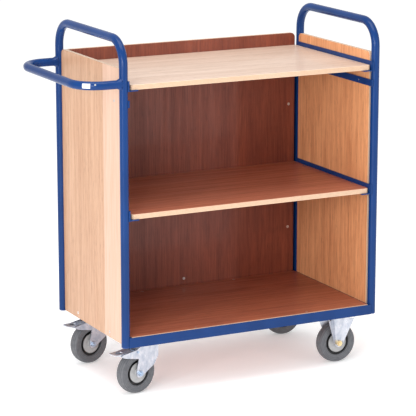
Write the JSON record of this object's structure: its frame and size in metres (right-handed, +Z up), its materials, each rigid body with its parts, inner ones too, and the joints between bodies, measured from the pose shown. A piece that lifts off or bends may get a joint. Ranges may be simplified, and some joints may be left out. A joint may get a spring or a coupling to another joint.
{
  "type": "book cart",
  "caption": "Book cart: steel tube hoops with a push handle, plywood deck, shelves and upright panels, fixed casters at one end and braked swivel casters at the other.",
  "frame": {"origin": "on the floor, under the middle of the whole cart", "axes": "+Z up, +X away from the push handle, -Y towards the open front"},
  "size_m": [0.978, 0.483, 1.0623],
  "materials": {
    "blue_paint": "gloss powder coat",
    "cap_plastic": "moulded",
    "ply_side": "satin lacquered plywood",
    "ply_back": "satin lacquered plywood",
    "ply_shelf": "satin lacquered plywood",
    "bright_zinc": "bright zinc plated",
    "blue_zinc": "blue zinc plated",
    "yellow_zinc": "yellow zinc plated",
    "screw_zinc": "zinc plated",
    "tyre": "grey non-marking rubber",
    "hub": "moulded, with a dark ring",
    "label": "blank label film"
  },
  "bodies": {
    "root": {"back_panel": "ply_back", "back_panel_screws": "screw_zinc", "back_straps": "blue_paint", "caster_bolts": "screw_zinc", "caster_nuts": "screw_zinc", "caster_seats": "blue_paint", "deck_board": "ply_shelf", "deck_rail_front": "blue_paint", "deck_rail_left": "blue_paint", "deck_rail_rear": "blue_paint", "deck_rail_right": "blue_paint", "deck_screws": "screw_zinc", "front_left_caster_plate": "bright_zinc", "front_left_kingpin": "blue_zinc", "front_right_axle": "yellow_zinc", "front_right_fork": "bright_zinc", "front_right_sleeve": "blue_zinc", "handle_label": "label", "label_rivet": "screw_zinc", "left_hoop": "blue_paint", "left_panel": "ply_side", "middle_angle_left": "blue_paint", "middle_angle_right": "blue_paint", "middle_shelf": "ply_shelf", "panel_bar_left": "blue_paint", "panel_bar_right": "blue_paint", "post_caps": "cap_plastic", "push_handle": "blue_paint", "rear_left_caster_plate": "bright_zinc", "rear_left_kingpin": "blue_zinc", "rear_right_axle": "yellow_zinc", "rear_right_fork": "bright_zinc", "rear_right_sleeve": "blue_zinc", "right_hoop": "blue_paint", "right_panel": "ply_side", "shelf_screws": "screw_zinc", "side_panel_screws": "screw_zinc", "top_angle_left": "blue_paint", "top_angle_right": "blue_paint", "top_shelf": "ply_shelf"},
    "swivel_front_left": {"front_left_axle": "blue_zinc", "front_left_ball_race": "bright_zinc", "front_left_fork": "bright_zinc", "front_left_pedal_pin": "blue_zinc", "front_left_sleeve": "blue_zinc"},
    "pedal_front_left": {"front_left_brake_pedal": "bright_zinc"},
    "wheel_front_left": {"front_left_hub": "hub", "front_left_tyre": "tyre"},
    "wheel_front_right": {"front_right_hub": "hub", "front_right_tyre": "tyre"},
    "swivel_rear_left": {"rear_left_axle": "blue_zinc", "rear_left_ball_race": "bright_zinc", "rear_left_fork": "bright_zinc", "rear_left_pedal_pin": "blue_zinc", "rear_left_sleeve": "blue_zinc"},
    "pedal_rear_left": {"rear_left_brake_pedal": "bright_zinc"},
    "wheel_rear_left": {"rear_left_hub": "hub", "rear_left_tyre": "tyre"},
    "wheel_rear_right": {"rear_right_hub": "hub", "rear_right_tyre": "tyre"}
  },
  "joints": [
    {"name": "swivel_front_left", "type": "hinge", "parent": "root", "child": "swivel_front_left", "pos_m": [-0.2579, -0.1696, 0.149], "axis": [0, 0, 1], "continuous": true},
    {"name": "wheel_front_left", "type": "hinge", "parent": "swivel_front_left", "child": "wheel_front_left", "pos_m": [-0.29477, -0.17879, 0.0625], "axis": [0.2419, -0.9703, 0], "continuous": true},
    {"name": "brake_front_left", "type": "hinge", "parent": "swivel_front_left", "child": "pedal_front_left", "pos_m": [-0.30156, -0.18049, 0.128], "axis": [0.2419, -0.9703, 0], "range_deg": [0, 15]},
    {"name": "swivel_rear_left", "type": "hinge", "parent": "root", "child": "swivel_rear_left", "pos_m": [-0.2579, 0.1696, 0.149], "axis": [0, 0, 1], "continuous": true},
    {"name": "wheel_rear_left", "type": "hinge", "parent": "swivel_rear_left", "child": "wheel_rear_left", "pos_m": [-0.29477, 0.16041, 0.0625], "axis": [0.2419, -0.9703, 0], "continuous": true},
    {"name": "brake_rear_left", "type": "hinge", "parent": "swivel_rear_left", "child": "pedal_rear_left", "pos_m": [-0.30156, 0.15871, 0.128], "axis": [0.2419, -0.9703, 0], "range_deg": [0, 15]},
    {"name": "wheel_front_right", "type": "hinge", "parent": "root", "child": "wheel_front_right", "pos_m": [0.3859, -0.1696, 0.0625], "axis": [0, -1, 0], "continuous": true},
    {"name": "wheel_rear_right", "type": "hinge", "parent": "root", "child": "wheel_rear_right", "pos_m": [0.3859, 0.1696, 0.0625], "axis": [0, -1, 0], "continuous": true}
  ]
}
